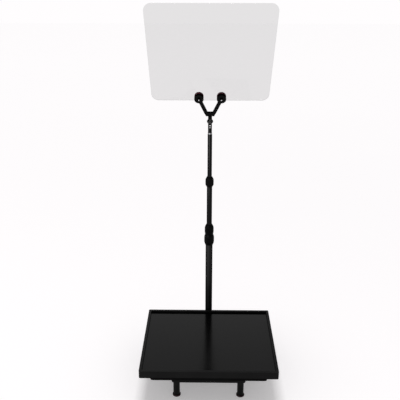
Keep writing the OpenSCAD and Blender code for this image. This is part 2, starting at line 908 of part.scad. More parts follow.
base_plate();
crossbar_front();
crossbar_rear();
leg_front_left();
leg_front_right();
leg_rear_left();
leg_rear_right();
foot_front_left();
foot_front_right();
foot_rear_left();
foot_rear_right();
frame_screws();
pole_socket();
socket_screws();
socket_knob();
bezel();
screen_panel();
backlight();
rear_housing();
housing_screws();
mount_plate();
mount_screws();
main_board();
button_board();
dc_jack();
hdmi_port();
vga_port();
bnc_port();
button_power();
button_menu();
button_up();
button_down();
pole_tube_1();
pole_tube_2();
pole_tube_3();
pole_tube_4();
seat_1();
seat_2();
seat_3();
bush_1();
bush_2();
bush_3();
collar_1();
collar_2();
collar_3();
guide_2();
guide_3();
guide_4();
spigot();
adapter();
adapter_screws();
pivot_bolt();
yoke();
glass_pads();
glass();
clamp_studs();
knob_left();
knob_right();
knob_ring_left();
knob_ring_right();
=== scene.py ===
"""Looks of the teleprompter: detailed meshes, materials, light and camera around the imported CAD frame.

Metres, +Z up. The reader stands on the -Y side and looks along +Y. The head's own frame has its origin in
the tilt knuckle, z up the glass and y out of the glass's back.
"""
import json
import math

import bmesh
import bpy
from mathutils import Matrix, Vector


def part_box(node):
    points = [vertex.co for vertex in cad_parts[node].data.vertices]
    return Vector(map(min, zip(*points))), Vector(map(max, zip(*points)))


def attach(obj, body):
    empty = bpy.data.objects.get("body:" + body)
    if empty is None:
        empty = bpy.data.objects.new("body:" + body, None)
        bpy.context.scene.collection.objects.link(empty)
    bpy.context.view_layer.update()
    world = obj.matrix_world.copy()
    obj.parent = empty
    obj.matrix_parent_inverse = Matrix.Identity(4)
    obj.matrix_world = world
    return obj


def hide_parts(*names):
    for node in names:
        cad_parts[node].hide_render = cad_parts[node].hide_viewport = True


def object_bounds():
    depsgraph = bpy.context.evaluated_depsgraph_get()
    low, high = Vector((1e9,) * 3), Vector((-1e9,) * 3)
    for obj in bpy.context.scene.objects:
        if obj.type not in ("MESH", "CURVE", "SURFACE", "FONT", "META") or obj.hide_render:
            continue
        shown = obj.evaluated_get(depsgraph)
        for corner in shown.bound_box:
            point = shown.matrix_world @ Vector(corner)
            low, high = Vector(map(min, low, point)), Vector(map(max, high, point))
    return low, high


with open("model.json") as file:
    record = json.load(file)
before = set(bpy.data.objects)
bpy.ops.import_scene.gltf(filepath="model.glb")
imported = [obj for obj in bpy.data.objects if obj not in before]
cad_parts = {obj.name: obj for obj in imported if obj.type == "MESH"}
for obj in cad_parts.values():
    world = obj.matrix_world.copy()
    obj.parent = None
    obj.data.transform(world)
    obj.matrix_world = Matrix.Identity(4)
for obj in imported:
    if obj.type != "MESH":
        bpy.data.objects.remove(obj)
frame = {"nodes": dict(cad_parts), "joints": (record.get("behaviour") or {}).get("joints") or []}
cad_low, cad_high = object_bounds()

MM = 0.001
NODES = frame["nodes"]
JOINTS = {j["name"]: j for j in frame["joints"]}
CLAMP_AXIS = Vector(JOINTS["knob_left_turn"]["axis"])
TILT = math.atan2(CLAMP_AXIS.z, CLAMP_AXIS.y)
KNUCKLE = Vector(JOINTS["head_tilt"]["pos_m"])
HEAD = Matrix.Translation(KNUCKLE) @ Matrix.Rotation(TILT, 4, "X")
POLE = Vector((KNUCKLE.x, KNUCKLE.y, 0))
CORNERS = ("front_left", "front_right", "rear_left", "rear_right")
SHARP = math.radians(32)

# The background's strength, by the kind of ray that reaches it.
SEEN_SKY = 1.0
FILL_SKY = 0.4
REFLECTED_SKY = 0.25

# The overhead key, and what the floor adds to it to come out white.
KEY_HEIGHT = 3.4
KEY_SIZE = 1.0
KEY_ASIDE = -0.12
KEY_RADIANCE = 16.6
FLOOR_KEY = 0.38
FLOOR_GLOW = 0.69

# Softboxes that only draw highlights: place, aim, size and radiance.
HIGHLIGHTS = {
    "rear_softbox": ((-0.75, 2.6, 1.7), (0, 0, 0.3), (3.0, 2.8), 0.78),
    "left_softbox": ((-2.0, -1.9, 0.9), (0, 0, 0.5), (2.6, 1.8), 3.2),
    "front_left_softbox": ((-0.75, -2.7, 0.75), (0, 0, 0.5), (0.5, 1.5), 11.0),
}


# ---------------------------------------------------------------- camera and light

def make_camera():
    """One camera fits the monitor's corners, the legs, the pole and the glass."""
    data = bpy.data.cameras.new("camera")
    data.lens = 53.76
    data.sensor_width = 36
    data.clip_start = 0.05
    data.clip_end = 60
    cam = bpy.data.objects.new("camera", data)
    bpy.context.scene.collection.objects.link(cam)
    cam.location = (-0.009, -1.6374, 1.2081)
    pitch, roll, yaw = (math.radians(angle) for angle in (-20.88, -0.085, 0.712))
    cam.rotation_euler = (math.pi / 2 + pitch, roll, yaw)
    bpy.context.scene.camera = cam


def make_world():
    """White behind everything; a bright fill on matt surfaces and a dim one in reflections."""
    world = bpy.data.worlds.new("studio")
    world.use_nodes = True
    world.cycles.sampling_method = "NONE"
    tree = world.node_tree
    back = tree.nodes["Background"]
    back.inputs["Color"].default_value = (1.0, 0.983, 0.991, 1)
    path = tree.nodes.new("ShaderNodeLightPath")
    total = None
    for ray, strength in (("Is Camera Ray", SEEN_SKY), ("Is Diffuse Ray", FILL_SKY)):
        part = tree.nodes.new("ShaderNodeMath")
        part.operation = "MULTIPLY_ADD"
        part.inputs[1].default_value = strength - REFLECTED_SKY
        part.inputs[2].default_value = REFLECTED_SKY
        tree.links.new(path.outputs[ray], part.inputs[0])
        if total is not None:
            tree.links.new(total, part.inputs[2])
        total = part.outputs["Value"]
    tree.links.new(total, back.inputs["Strength"])
    bpy.context.scene.world = world
    bpy.context.scene.view_settings.view_transform = "Standard"


def area_light(name, place, target, size, radiance):
    """A softbox that the camera doesn't see."""
    data = bpy.data.lights.new(name, "AREA")
    data.shape = "RECTANGLE"
    data.size, data.size_y = size
    data.energy = radiance * math.pi * size[0] * size[1]
    light = bpy.data.objects.new(name, data)
    light.location = place
    light.rotation_euler = (Vector(target) - Vector(place)).to_track_quat("-Z", "Y").to_euler()
    light.visible_camera = False
    bpy.context.scene.collection.objects.link(light)
    return light


def make_lights(floor):
    """An overhead key, and softboxes that leave the floor and all matt shading alone."""
    place = (KEY_ASIDE, 0, KEY_HEIGHT)
    area_light("overhead_softbox", place, (KEY_ASIDE, 0, 0), (KEY_SIZE, KEY_SIZE), KEY_RADIANCE)
    unlit = bpy.data.collections.new("unlit_by_softbox")
    unlit.objects.link(floor)
    unlit.collection_objects[0].light_linking.link_state = "EXCLUDE"
    for name, setting in HIGHLIGHTS.items():
        light = area_light(name, *setting)
        light.visible_diffuse = False
        light.light_linking.receiver_collection = unlit


def make_floor():
    """A white floor, which glows more where the key fades, so that it runs into the background."""
    bm = bmesh.new()
    bmesh.ops.create_grid(bm, x_segments=8, y_segments=8, size=14)
    floor = object_from("floor", bm)
    floor.location.z = cad_low.z - 0.2 * MM
    m = Paint("studio_floor")
    m.set(Roughness=0.16)
    m.colour((0.87, 0.856, 0.863))
    reach = m.node("VectorMath", operation="LENGTH")
    m.link(m.place(), reach.inputs[0])
    across = m.maths("POWER", m.maths("DIVIDE", reach.outputs["Value"], KEY_HEIGHT), 2.0)
    falloff = m.maths("POWER", m.maths("ADD", across, 1.0), -2.0)
    glow = m.maths("SUBTRACT", FLOOR_GLOW, m.maths("MULTIPLY", falloff, FLOOR_KEY))
    m.link(glow, m.bsdf.inputs["Emission Strength"])
    m.bsdf.inputs["Emission Color"].default_value = (1.0, 0.985, 0.992, 1)
    floor.data.materials.append(m.material)
    return floor


# ---------------------------------------------------------------- materials

class Paint:
    """A Principled material and short calls for the nodes that drive it."""

    def __init__(self, name):
        self.material = bpy.data.materials.new(name)
        self.material.use_nodes = True
        self.tree = self.material.node_tree
        self.bsdf = self.tree.nodes["Principled BSDF"]
        self.coord = None

    def set(self, **values):
        for key, value in values.items():
            self.bsdf.inputs[key.replace("_", " ")].default_value = value

    def node(self, kind, **settings):
        n = self.tree.nodes.new("ShaderNode" + kind)
        for key, value in settings.items():
            setattr(n, key, value)
        return n

    def link(self, a, b):
        self.tree.links.new(a, b)

    def place(self, stretch=(1, 1, 1)):
        """The row frame's coordinates in metres, scaled on each axis."""
        if self.coord is None:
            self.coord = self.node("TexCoord").outputs["Object"]
        mapping = self.node("Mapping")
        mapping.inputs["Scale"].default_value = stretch
        self.link(self.coord, mapping.inputs["Vector"])
        return mapping.outputs["Vector"]

    def noise(self, scale, detail=3.0, stretch=(1, 1, 1), rough=0.5):
        n = self.node("TexNoise")
        n.inputs["Scale"].default_value = scale
        n.inputs["Detail"].default_value = detail
        n.inputs["Roughness"].default_value = rough
        self.link(self.place(stretch), n.inputs["Vector"])
        return n.outputs["Fac"]

    def cells(self, scale, feature="F1", stretch=(1, 1, 1)):
        n = self.node("TexVoronoi", feature=feature)
        n.inputs["Scale"].default_value = scale
        self.link(self.place(stretch), n.inputs["Vector"])
        return n.outputs["Distance"]

    def ramp(self, fac, low, high, start=0.0, end=1.0):
        """Maps fac from start..end to low..high, clamped."""
        n = self.node("MapRange")
        n.inputs["From Min"].default_value = start
        n.inputs["From Max"].default_value = end
        n.inputs["To Min"].default_value = low
        n.inputs["To Max"].default_value = high
        self.link(fac, n.inputs["Value"])
        return n.outputs["Result"]

    def maths(self, op, a, b):
        n = self.node("Math", operation=op)
        for socket, value in zip(n.inputs, (a, b)):
            if isinstance(value, (int, float)):
                socket.default_value = value
            else:
                self.link(value, socket)
        return n.outputs["Value"]

    def mix(self, fac, a, b):
        n = self.node("Mix", data_type="RGBA")
        self.link(fac, n.inputs["Factor"])
        for socket, value in ((n.inputs[6], a), (n.inputs[7], b)):
            if isinstance(value, tuple):
                socket.default_value = (*value, 1)
            else:
                self.link(value, socket)
        return n.outputs[2]

    def edges(self, radius):
        """1 on the part's edges and 0 on its flats."""
        bevel = self.node("Bevel", samples=6)
        bevel.inputs["Radius"].default_value = radius
        geometry = self.node("NewGeometry")
        dot = self.node("VectorMath", operation="DOT_PRODUCT")
        self.link(bevel.outputs["Normal"], dot.inputs[0])
        self.link(geometry.outputs["Normal"], dot.inputs[1])
        return self.ramp(dot.outputs["Value"], 1.0, 0.0, 0.80, 0.99)

    def colour(self, value):
        if isinstance(value, tuple):
            self.bsdf.inputs["Base Color"].default_value = (*value, 1)
        else:
            self.link(value, self.bsdf.inputs["Base Color"])

    def rough(self, value):
        self.link(value, self.bsdf.inputs["Roughness"])

    def bump(self, height, depth, strength=1.0):
        """Adds a bump of that depth in metres, on top of any bump already there."""
        n = self.node("Bump")
        n.inputs["Distance"].default_value = depth
        n.inputs["Strength"].default_value = strength
        self.link(height, n.inputs["Height"])
        old = self.bsdf.inputs["Normal"]
        if old.is_linked:
            self.link(old.links[0].from_socket, n.inputs["Normal"])
        self.link(n.outputs["Normal"], self.bsdf.inputs["Normal"])


def powder_coat():
    """Fine orange-peel powder coat, a little worn on its edges, with dust on the flats."""
    m = Paint("powder_coat")
    m.set(IOR=1.18)
    peel = m.noise(900, 2)
    dust = m.noise(28, 5)
    base = m.mix(m.ramp(dust, 0, 1, 0.45, 0.75), (0.0020, 0.0020, 0.0021), (0.0042, 0.0041, 0.0040))
    m.colour(m.mix(m.maths("MULTIPLY", m.edges(0.0007), 0.4), base, (0.02, 0.02, 0.021)))
    m.rough(m.ramp(dust, 0.36, 0.52, 0.3, 0.7))
    m.bump(peel, 0.00009, 0.6)
    return m.material


def satin_paint():
    m = Paint("satin_paint")
    m.set(IOR=1.2)
    speck = m.noise(1400, 2)
    smear = m.noise(45, 4, (1, 1, 0.3))
    m.colour(m.mix(smear, (0.0020, 0.0023, 0.0021), (0.0036, 0.0040, 0.0038)))
    m.rough(m.ramp(smear, 0.30, 0.44, 0.3, 0.7))
    m.bump(speck, 0.00004, 0.5)
    return m.material


def foot_rubber():
    m = Paint("foot_rubber")
    m.set(IOR=1.3)
    m.bsdf.inputs["Sheen Weight"].default_value = 0.03
    m.bsdf.inputs["Sheen Roughness"].default_value = 0.5
    m.bsdf.inputs["Sheen Tint"].default_value = (1.0, 0.45, 0.6, 1)
    cloud = m.noise(110, 4)
    scuff = m.noise(600, 3, (1, 1, 0.4))
    m.colour(m.mix(m.ramp(cloud, 0, 1, 0.35, 0.7), (0.018, 0.0016, 0.0046), (0.034, 0.0040, 0.0090)))
    m.rough(m.ramp(scuff, 0.42, 0.62, 0.3, 0.7))
    m.bump(scuff, 0.00008, 0.5)
    return m.material


def grained_plastic(name, grain, depth, ior, dark, light, edge):
    """Moulded plastic with a spark-eroded grain, lighter edges and faint handling marks; the lighter edges
    are soft wear, and with the bezel frame's bright edge colour they are a painted highlight along its
    rims.
    """
    m = Paint(name)
    m.set(IOR=ior)
    cells = m.cells(grain, "SMOOTH_F1")
    fine = m.noise(grain * 1.7, 3)
    hands = m.noise(14, 4)
    base = m.mix(m.ramp(hands, 0, 1, 0.4, 0.65), (dark,) * 3, (light,) * 3)
    # Edges mixed towards the edge colour: soft wear, and on the bezel frame a painted highlight.
    m.colour(m.mix(m.maths("MULTIPLY", m.edges(0.0006), 0.4), base, (edge,) * 3))
    m.rough(m.ramp(hands, 0.36, 0.50, 0.35, 0.7))
    m.bump(m.maths("ADD", cells, m.maths("MULTIPLY", fine, 0.5)), depth, 0.7)
    return m.material


def screen_panel():
    """Anti-glare panel that is switched off: a lit-area rectangle a shade lighter than its black border."""
    low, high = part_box("screen_panel")
    centre = (low + high) / 2
    border = 12 * MM
    half = (high - low) / 2 - Vector((border, border, 0))
    m = Paint("screen_panel")
    m.set(IOR=1.185)
    split = m.node("SeparateXYZ")
    m.link(m.place(), split.inputs["Vector"])
    inside = None
    for axis, middle, reach in (("X", centre.x, half.x), ("Y", centre.y, half.y)):
        offset = m.maths("ABSOLUTE", m.maths("SUBTRACT", split.outputs[axis], middle), 0)
        near = m.maths("LESS_THAN", offset, reach)
        inside = near if inside is None else m.maths("MULTIPLY", inside, near)
    m.colour(m.mix(inside, (0.0003, 0.0003, 0.0004), (0.0007, 0.0007, 0.0008)))
    haze = m.noise(2600, 2)
    smudge = m.noise(9, 5, (1, 1.6, 1))
    m.rough(m.ramp(smudge, 0.155, 0.19, 0.35, 0.7))
    m.bump(haze, 0.00001, 0.25)
    return m.material


def anodised(name, tone, edge_tone, rough, lines=True):
    """Black anodised aluminium, dark at its rim too; drawn tubes have fine lines along them."""
    m = Paint(name)
    m.set(Metallic=1.0)
    m.bsdf.inputs["Specular Tint"].default_value = (edge_tone, edge_tone, edge_tone, 1)
    wear = m.noise(22, 4, (1, 1, 0.25))
    m.colour(m.mix(m.ramp(wear, 0, 1, 0.4, 0.7), (tone * 0.85,) * 3, (tone * 1.2,) * 3))
    grain = m.noise(900, 2, (1, 1, 0.012)) if lines else m.noise(1300, 2)
    m.rough(m.ramp(m.maths("ADD", wear, m.maths("MULTIPLY", grain, 0.3)), rough, rough * 1.45, 0.4, 0.9))
    m.bump(grain, 0.00002, 0.3)
    return m.material


def metal(name, colour, rough, turned=0.0, wear=0.0):
    """Bare or plated metal, with turning marks round Z if asked."""
    m = Paint(name)
    m.set(Metallic=1.0)
    cloud = m.noise(160, 3)
    darker = tuple(c * 0.78 for c in colour)
    m.colour(m.mix(m.ramp(cloud, 0, 1, 0.35, 0.7), darker, colour))
    m.rough(m.ramp(cloud, rough * 0.8, rough * 1.25, 0.3, 0.7))
    if turned:
        m.bump(m.noise(3000, 2, (0.05, 0.05, 1)), turned, 0.5)
    if wear:
        m.bump(m.noise(500, 4), wear, 0.5)
    return m.material


def moulded(name, colour, rough, grain=1500):
    m = Paint(name)
    cloud = m.noise(60, 4)
    darker = tuple(c * 0.75 for c in colour)
    m.colour(m.mix(m.ramp(cloud, 0, 1, 0.35, 0.7), darker, colour))
    m.rough(m.ramp(cloud, rough * 0.88, rough * 1.15, 0.3, 0.7))
    m.bump(m.noise(grain, 2), 0.00004, 0.5)
    return m.material


def red_anodised():
    m = Paint("red_anodised")
    m.set(IOR=1.3, Metallic=0.5)
    cloud = m.noise(140, 3)
    turn = m.noise(1500, 2, (0.1, 1, 0.1))
    m.colour(m.mix(m.ramp(cloud, 0, 1, 0.3, 0.7), (0.044, 0.0026, 0.0085), (0.078, 0.0046, 0.0150)))
    m.rough(m.ramp(turn, 0.26, 0.38, 0.3, 0.7))
    m.bump(turn, 0.00002, 0.4)
    return m.material


def rubber(name, colour):
    m = Paint(name)
    m.set(IOR=1.4)
    cloud = m.noise(90, 4)
    grain = m.noise(1100, 3)
    lighter = tuple(c * 1.8 for c in colour)
    m.colour(m.mix(m.ramp(cloud, 0, 1, 0.35, 0.7), colour, lighter))
    m.rough(m.ramp(grain, 0.5, 0.7, 0.3, 0.7))
    m.bump(grain, 0.00006, 0.5)
    return m.material


def circuit_board():
    m = Paint("circuit_board")
    tracks = m.cells(420, "DISTANCE_TO_EDGE")
    m.colour(m.mix(m.ramp(tracks, 1, 0, 0.02, 0.06), (0.008, 0.07, 0.028), (0.03, 0.17, 0.06)))
    m.rough(m.ramp(tracks, 0.4, 0.25, 0.0, 0.1))
    m.bump(tracks, 0.00003, 0.5)
    return m.material


def beam_splitter_face():
    """The coated face: it holds back about a quarter of the light that comes through."""
    m = Paint("beam_splitter_face")
    m.set(IOR=1.6, Alpha=0.228)
    film = m.noise(7, 3)
    m.colour(m.mix(film, (0.0018, 0.0018, 0.0020), (0.0022, 0.0022, 0.0021)))
    m.rough(m.ramp(film, 0.015, 0.035, 0.3, 0.7))
    return m.material


def clear_face():
    """The uncoated back face, which adds only a faint reflection."""
    m = Paint("clear_face")
    m.set(Alpha=0.012)
    film = m.noise(11, 3)
    m.colour(m.mix(film, (0.010, 0.012, 0.011), (0.013, 0.015, 0.014)))
    m.rough(m.ramp(film, 0.015, 0.04, 0.3, 0.7))
    return m.material


def polished_edge():
    """The ground and polished edge, where the sheet's thickness shows its tint."""
    m = Paint("polished_edge")
    m.set(Alpha=0.2)
    tint = m.noise(180, 3)
    m.colour(m.mix(tint, (0.030, 0.036, 0.035), (0.046, 0.054, 0.052)))
    m.rough(m.ramp(tint, 0.12, 0.24, 0.3, 0.7))
    return m.material


# ---------------------------------------------------------------- mesh tools

def object_from(name, bm):
    mesh = bpy.data.meshes.new(name)
    bmesh.ops.recalc_face_normals(bm, faces=bm.faces)
    bm.to_mesh(mesh)
    bm.free()
    mesh.polygons.foreach_set("use_smooth", [True] * len(mesh.polygons))
    mesh.set_sharp_from_angle(angle=SHARP)
    obj = bpy.data.objects.new(name, mesh)
    bpy.context.scene.collection.objects.link(obj)
    return obj


def piece(obj, body, material, slot, *nodes):
    """Hands a finished piece to the frame: its body, its finish and the CAD nodes that it stands for."""
    if material is not None:
        obj.data.materials.append(material)
    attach(obj, body)
    if nodes:
        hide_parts(*nodes)
    return obj


def fillet(points, steps=4):
    """Rounds a closed outline of (x, y, radius) corners and returns (x, y) points."""
    out = []
    count = len(points)
    for i, (x, y, r) in enumerate(points):
        p = Vector((x, y))
        a = Vector(points[i - 1][:2]) - p
        b = Vector(points[(i + 1) % count][:2]) - p
        if r <= 0 or a.length < 1e-9 or b.length < 1e-9:
            out.append((x, y))
            continue
        half = a.angle(b) / 2
        if math.pi / 2 - half < 0.01:
            out.append((x, y))
            continue
        reach = min(r / math.tan(half), a.length * 0.48, b.length * 0.48)
        r = reach * math.tan(half)
        start = p + a.normalized() * reach
        end = p + b.normalized() * reach
        centre = p + (a.normalized() + b.normalized()).normalized() * (r / math.sin(half))
        u, v = start - centre, end - centre
        sweep = u.angle_signed(v)
        for k in range(steps + 1):
            turn = -sweep * k / steps
            c, s = math.cos(turn), math.sin(turn)
            out.append((centre.x + u.x * c - u.y * s, centre.y + u.x * s + u.y * c))
    return out


def lathe(name, outline, segments=96, shape=None, place=Matrix.Identity(4)):
    """Turns a closed (radius, height) outline round Z. shape(r, z, angle) may move a point's radius."""
    bm = bmesh.new()
    rings = []
    for k in range(segments):
        angle = 2 * math.pi * k / segments
        ring = []
        for r, z in outline:
            radius = shape(r, z, angle) if shape else r
            ring.append(bm.verts.new((radius * math.cos(angle), radius * math.sin(angle), z)))
        rings.append(ring)
    count = len(outline)
    for k in range(segments):
        a, b = rings[k], rings[(k + 1) % segments]
        for i in range(count):
            j = (i + 1) % count
            if outline[i][0] < 1e-9 and outline[j][0] < 1e-9:
                continue
            bm.faces.new((a[i], b[i], b[j], a[j]))
    bmesh.ops.remove_doubles(bm, verts=bm.verts, dist=1e-7)
    bmesh.ops.transform(bm, matrix=place, verts=bm.verts)
    return object_from(name, bm)


def smooth_step(x, low, high):
    t = min(max((x - low) / (high - low), 0.0), 1.0)
    return t * t * (3 - 2 * t)


def refine(node, material, bevel=0.35, segments=2):
    """Gives a CAD node its material, clean flats and rounded edges; its own mesh stays as it is."""
    obj = NODES[node]
    obj.data.materials.clear()
    obj.data.materials.append(material)
    weld = obj.modifiers.new("weld", "WELD")
    weld.merge_threshold = 1e-6
    flats = obj.modifiers.new("flats", "DECIMATE")
    flats.decimate_type = "DISSOLVE"
    flats.angle_limit = math.radians(0.4)
    if bevel:
        edge = obj.modifiers.new("edges", "BEVEL")
        edge.width = bevel * MM
        edge.segments = segments
        edge.limit_method = "ANGLE"
        edge.angle_limit = SHARP
        edge.harden_normals = True
    clean = obj.modifiers.new("shading", "WEIGHTED_NORMAL")
    clean.keep_sharp = True
    clean.weight = 100
    obj.data.polygons.foreach_set("use_smooth", [True] * len(obj.data.polygons))
    return obj


# ---------------------------------------------------------------- base and monitor

def centre_of(node):
    low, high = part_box(node)
    return (low + high) / 2


def half_width(node):
    low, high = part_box(node)
    return (high.x - low.x) / 2


def build_feet(material):
    """Shallow rubber cups with a rounded rim, a groove round the side and a hollowed sole."""
    for place in CORNERS:
        node = "foot_" + place
        low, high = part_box(node)
        r, h = half_width(node), high.z - low.z
        leg_r = half_width("leg_" + place)
        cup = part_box("leg_" + place)[0].z
        outline = [
            (0, 0, 0),
            (r - 4.0 * MM, 0, 0),
            (r - 3.4 * MM, 0.5 * MM, 0.3 * MM),
            (r - 2.2 * MM, 0.1 * MM, 0.3 * MM),
            (r, 1.4 * MM, 0.9 * MM),
            (r, h * 0.44, 0.3 * MM),
            (r - 0.5 * MM, h * 0.50, 0.2 * MM),
            (r, h * 0.56, 0.3 * MM),
            (r, h - 1.1 * MM, 0.8 * MM),
            (r - 1.0 * MM, h, 0.5 * MM),
            (leg_r + 0.4 * MM, h, 0.2 * MM),
            (leg_r, h - 0.5 * MM, 0.2 * MM),
            (leg_r, cup, 0),
            (0, cup, 0),
        ]
        centre = centre_of(node)
        spot = Matrix.Translation((centre.x, centre.y, low.z))
        obj = lathe(node + "_detail", fillet(outline), 72, place=spot)
        piece(obj, "base", material, "foot_rubber", node)


def paint_base(mats):
    for node in ("base_plate", "crossbar_front", "crossbar_rear", "pole_socket"):
        refine(node, mats["powder"], 0.5, 3)
    for place in CORNERS:
        refine("leg_" + place, mats["satin"], 0.3)
    refine("frame_screws", mats["zinc"], 0.15)
    refine("socket_screws", mats["black_steel"], 0.3)
    refine("mount_screws", mats["black_steel"], 0.3)
    refine("housing_screws", mats["black_steel"], 0.15)


def paint_monitor(mats):
    refine("bezel", mats["frame"], 1.0, 4)
    refine("rear_housing", mats["housing"], 0.4)
    refine("screen_panel", mats["screen"], 0.15)
    refine("backlight", mats["tray"], 0.3)
    refine("mount_plate", mats["zinc"], 0.2)
    refine("main_board", mats["board"], 0.1)
    refine("button_board", mats["board"], 0.1)
    refine("dc_jack", mats["port_black"], 0.3)
    refine("hdmi_port", mats["port_metal"], 0.2)
    refine("vga_port", mats["port_blue"], 0.3)
    refine("bnc_port", mats["port_metal"], 0.25)
    for use in ("power", "menu", "up", "down"):
        refine("button_" + use, mats["button"], 0.5, 3)


# ---------------------------------------------------------------- pole

COLLARS = {
    1: {"low_gap": 1.6, "rise": 0.35, "fall": 0.60, "high_gap": 2.9},
    2: {"low_gap": 3.4, "rise": 0.30, "fall": 0.55, "high_gap": 1.8},
    3: {"low_gap": 1.0, "rise": 0.30, "fall": 0.58, "high_gap": 1.7},
}


def pole_place(z):
    return Matrix.Translation((POLE.x, POLE.y, z))


def build_tubes(outer, inner):
    """Drawn tubes with softly rounded mouths; the fixed one at the bottom has the duller finish."""
    wall = 1.2 * MM
    bodies = {1: "base", 2: "section_2", 3: "section_3", 4: "section_4"}
    for i, body in bodies.items():
        node = f"pole_tube_{i}"
        low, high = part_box(node)
        r, h = half_width(node), high.z - low.z
        outline = [
            (r - wall, 0, 0.3 * MM),
            (r, 0, 0.4 * MM),
            (r, h, 0.5 * MM),
            (r - wall, h, 0.3 * MM),
        ]
        obj = lathe(node + "_detail", fillet(outline), 96, place=pole_place(low.z))
        piece(obj, body, outer if i == 1 else inner, "tube_anodised", node)


def build_collars(material):
    """Barrel-shaped twist-lock collars with rounded finger ribs, hollow round their ferrule and bush."""
    ribs = 22
    play = 0.25 * MM
    lip = 1.4 * MM
    for i, form in COLLARS.items():
        node = f"collar_{i}"
        low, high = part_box(node)
        seat_low, seat_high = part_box(f"seat_{i}")
        bush_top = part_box(f"bush_{i}")[1].z
        r = half_width(node) - 0.2 * MM
        h = high.z - low.z
        tube_r = half_width(f"pole_tube_{i}")
        inner_r = half_width(f"pole_tube_{i + 1}")
        seat_r = half_width(f"seat_{i}") + play
        bush_r = half_width(f"bush_{i}") + play
        step = seat_high.z + play - low.z
        roof = bush_top + play - low.z
        end_low = tube_r + form["low_gap"] * MM
        end_high = inner_r + form["high_gap"] * MM
        steps = 44
        barrel = []
        for k in range(steps + 1):
            t = 0.5 - 0.5 * math.cos(math.pi * k / steps)
            swell, end = 1.0, end_low
            if t < form["rise"]:
                swell = math.sin(math.pi / 2 * t / form["rise"])
            elif t > form["fall"]:
                end = end_high
                swell = math.cos(math.pi / 2 * ((t - form["fall"]) / (1 - form["fall"])) ** 1.3)
            barrel.append((end + (r - end) * swell, h * t))
        inside = [
            (inner_r + play, h),
            (inner_r + play, roof),
            (bush_r, roof),
            (bush_r, step),
            (seat_r, step),
            (seat_r, seat_low.z - play - low.z),
            (tube_r + play, lip),
            (tube_r + play, 0),
        ]

        def ribbed(radius, z, angle, h=h, bore=seat_r):
            if radius <= bore + 0.3 * MM:
                return radius
            t = z / h
            fade = smooth_step(t, 0.10, 0.2) * (1 - smooth_step(t, 0.72, 0.84))
            ring = smooth_step(t, 0.865, 0.875) * (1 - smooth_step(t, 0.895, 0.905))
            groove = (0.5 + 0.5 * math.cos(ribs * angle)) ** 3
            return radius - 0.9 * MM * fade * groove - 0.3 * MM * ring

        obj = lathe(node + "_detail", barrel + inside, ribs * 14, ribbed, pole_place(low.z))
        piece(obj, node, material, "collar_plastic", node)


def build_socket_knob(material):
    """Eight-lobed hand knob on its stem, with a dished face."""
    node = "socket_knob"
    low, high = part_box(node)
    centre = centre_of(node)
    r = half_width(node) + 0.2 * MM
    length = high.y - low.y
    grip = 12 * MM
    stem = 3 * MM
    neck = 5.5 * MM
    start = length - grip
    outline = [
        (0, 0, 0),
        (stem - 0.6 * MM, 0, 0),
        (stem, 0.6 * MM, 0),
        (stem, 5.0 * MM, 0),
        (neck, 5.0 * MM, 0.4 * MM),
        (neck, start - 0.4 * MM, 0.4 * MM),
        (r - 1.4 * MM, start, 0.8 * MM),
        (r, start + 1.8 * MM, 1.2 * MM),
        (r, length - 2.2 * MM, 1.6 * MM),
        (r - 2.4 * MM, length, 1.2 * MM),
        (r - 4.4 * MM, length, 0.6 * MM),
        (r - 5.4 * MM, length - 0.9 * MM, 0.6 * MM),
        (0, length - 0.9 * MM, 0),
    ]

    def lobes(radius, y, angle):
        if radius < neck + 0.5 * MM:
            return radius
        dip = (0.5 + 0.5 * math.cos(8 * angle)) ** 2
        reach = (radius - neck) / (r - neck)
        return radius - 1.7 * MM * dip * reach

    turn = Matrix.Translation((centre.x, low.y, centre.z)) @ Matrix.Rotation(-math.pi / 2, 4, "X")
    obj = lathe("socket_knob_detail", fillet(outline), 160, lobes, turn)
    piece(obj, "socket_knob", material, "knob_plastic", node)


def paint_pole(mats):
    for i in (1, 2, 3):
        refine(f"seat_{i}", mats["ferrule"], 0.2)
        refine(f"bush_{i}", mats["nylon"], 0.2)
        refine(f"guide_{i + 1}", mats["nylon"], 0.2)
    refine("spigot", mats["plug"], 0.2)


# ---------------------------------------------------------------- head

def local_range(node):
    """A head node's lowest and highest corners in the head's own frame."""
    back = HEAD.inverted()
    points = [back @ v.co for v in NODES[node].data.vertices]
    low = Vector([min(p[i] for p in points) for i in range(3)])
    high = Vector([max(p[i] for p in points) for i in range(3)])
    return low, high


def build_glass(face, clear, edge):
    """The beam-splitter sheet: coated front, clear back, and a ground edge with fine chamfers."""
    bm = bmesh.new()
    bm.from_mesh(NODES["glass"].data)
    bmesh.ops.remove_doubles(bm, verts=bm.verts, dist=1e-6)
    bmesh.ops.transform(bm, matrix=HEAD.inverted(), verts=bm.verts)
    bmesh.ops.dissolve_limit(bm, angle_limit=math.radians(0.5), verts=bm.verts, edges=bm.edges)
    rims = [e for e in bm.edges if e.is_manifold and e.calc_face_angle(0) > math.radians(60)]
    bmesh.ops.bevel(bm, geom=rims, offset=0.45 * MM, segments=2, affect="EDGES", profile=0.5)
    bm.normal_update()
    for f in bm.faces:
        if f.normal.y < -0.9:
            f.material_index = 0
        elif f.normal.y > 0.9:
            f.material_index = 1
        else:
            f.material_index = 2
    bmesh.ops.transform(bm, matrix=HEAD, verts=bm.verts)
    obj = object_from("glass_sheet", bm)
    for material in (face, clear, edge):
        obj.data.materials.append(material)
    piece(obj, "head", None, "beam_splitter", "glass")


